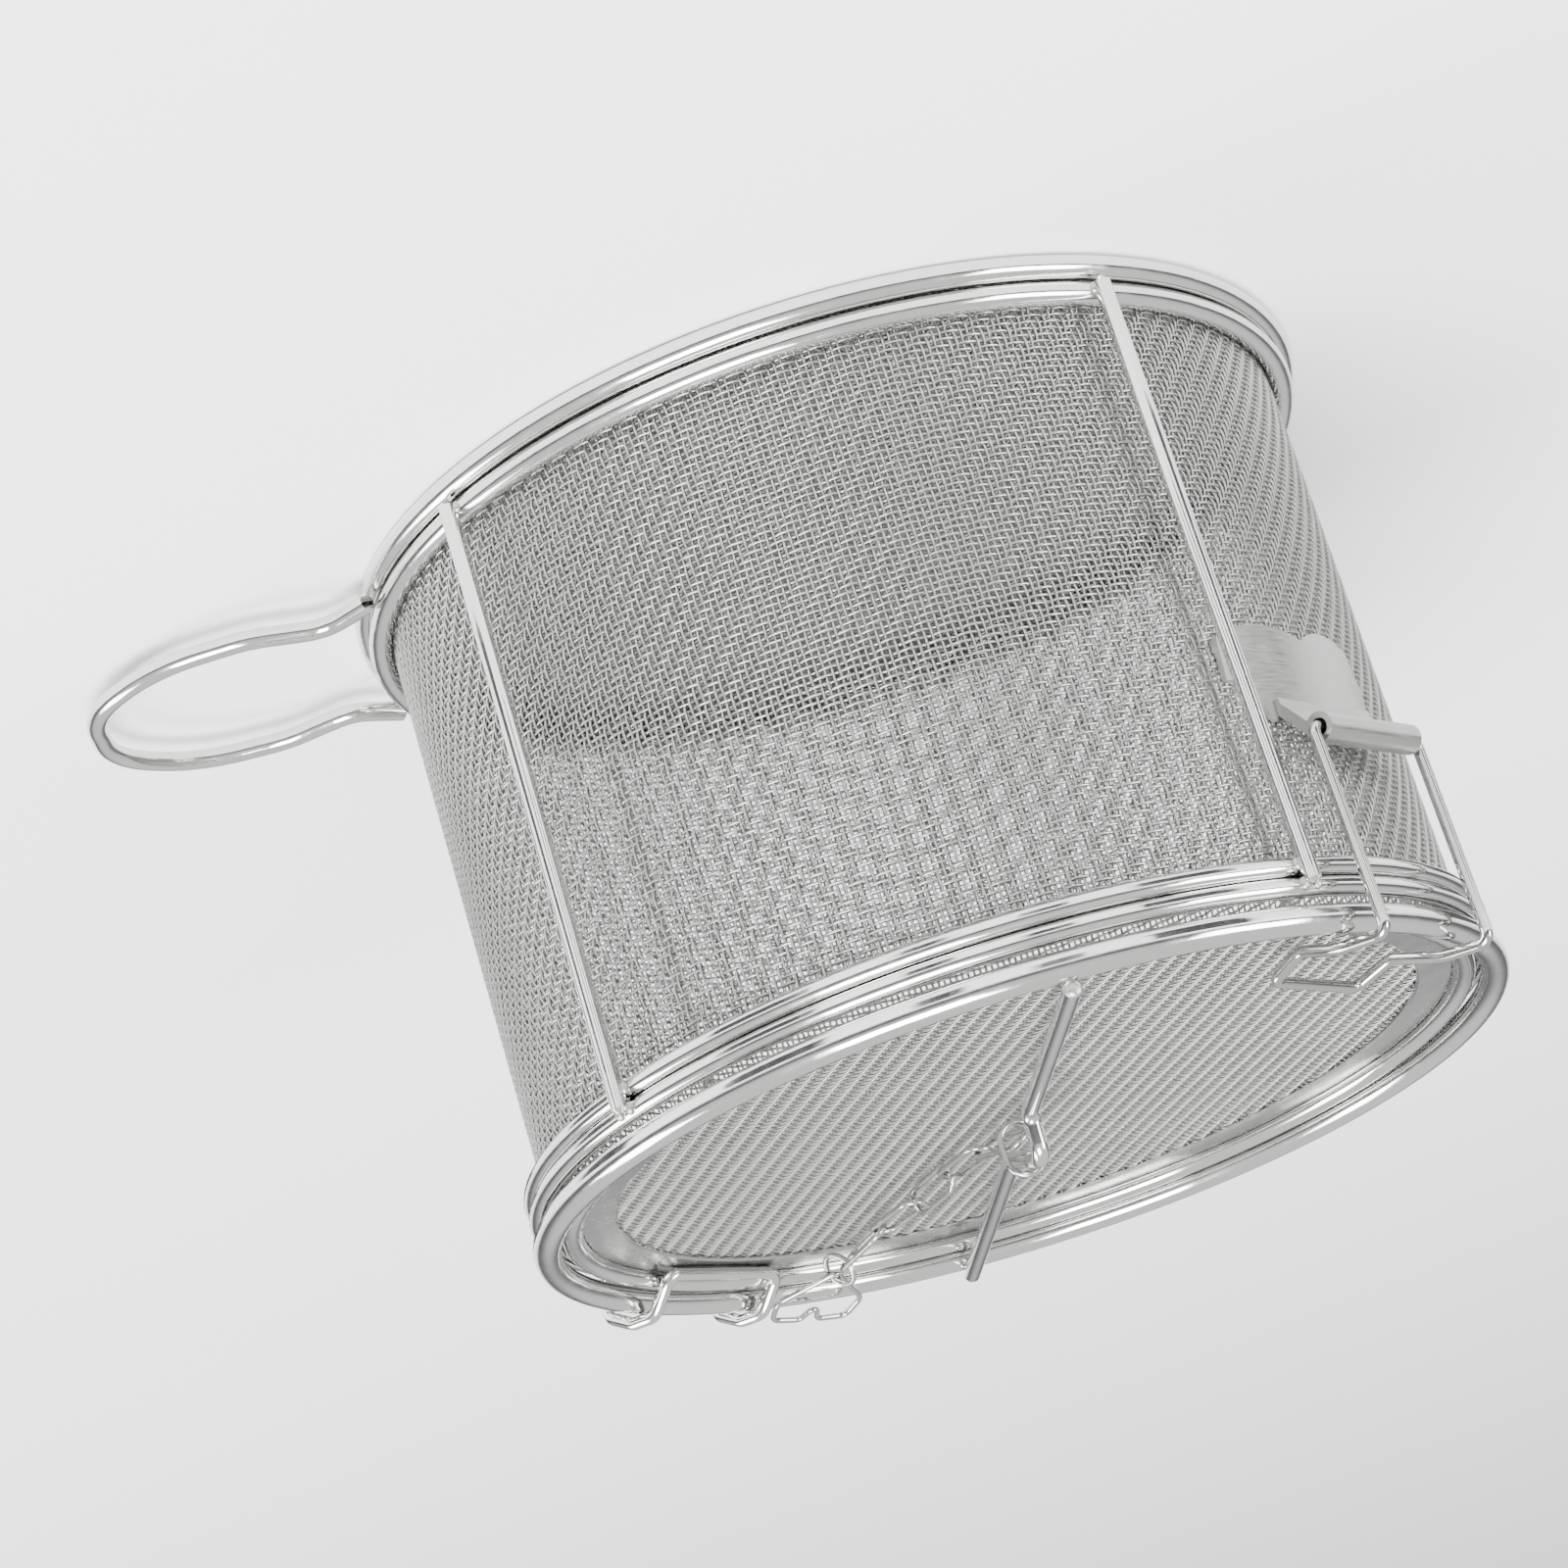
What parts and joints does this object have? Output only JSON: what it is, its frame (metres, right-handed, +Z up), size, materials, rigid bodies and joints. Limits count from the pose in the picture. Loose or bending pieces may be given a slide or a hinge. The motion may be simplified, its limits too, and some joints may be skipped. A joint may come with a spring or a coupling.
{
  "type": "lidded mesh basket strainer",
  "caption": "Round stainless wire-mesh strainer basket with a hinged mesh lid, wire bail latch, loop handle and lid chain.",
  "frame": {"origin": "centre of the base ring at its lowest plane, on the basket's axis, standing on its closed mesh end", "axes": "+Z up along the basket's axis to the lid, +X towards the latch, -X towards the hinge, handle at 138 degrees from +X"},
  "size_m": [0.1664, 0.1566, 0.1102],
  "materials": {
    "polished_wire": "polished stainless steel wire",
    "spring_wire": "bright drawn stainless spring wire",
    "chain_wire": "bright drawn stainless wire",
    "woven_mesh": "woven stainless steel wire cloth",
    "latch_sheet": "satin rolled stainless sheet",
    "pressed_band": "pressed stainless strip"
  },
  "bodies": {
    "basket": {"base_ring": "polished_wire", "base_binding_ring": "polished_wire", "base_mesh": "woven_mesh", "wall_mesh": "woven_mesh", "rim_ring_lower": "polished_wire", "rim_ring_upper": "polished_wire", "rod_near_latch": "polished_wire", "rod_near_handle": "polished_wire", "rod_near_hinge": "polished_wire", "rod_opposite_handle": "polished_wire", "handle_loop": "polished_wire", "hinge_bracket": "polished_wire", "latch_plate": "latch_sheet"},
    "lid": {"lid_ring": "polished_wire", "lid_inner_ring": "polished_wire", "lid_mesh_band": "pressed_band", "lid_mesh": "woven_mesh", "lid_bar": "polished_wire", "hinge_staple": "polished_wire"},
    "latch_bail": {"latch_bail": "spring_wire"},
    "chain": {"chain_eye": "chain_wire", "chain_link_01": "chain_wire", "chain_link_02": "chain_wire", "chain_link_03": "chain_wire", "chain_link_04": "chain_wire", "chain_link_05": "chain_wire", "chain_end_ring": "chain_wire", "chain_heart": "chain_wire"}
  },
  "joints": [
    {"name": "lid_hinge", "type": "hinge", "parent": "basket", "child": "lid", "pos_m": [-0.0732, 0, 0.0988], "axis": [0, -1, 0], "range_deg": [0, 190]},
    {"name": "latch_swing", "type": "hinge", "parent": "basket", "child": "latch_bail", "pos_m": [0.0735, 0, 0.074], "axis": [0, 1, 0], "range_deg": [0, 115]},
    {"name": "chain_swing", "type": "hinge", "parent": "lid", "child": "chain", "pos_m": [0.00154, 0.0042, 0.10608], "axis": [0.7284, 0.6852, 0], "range_deg": [0, 150]}
  ]
}
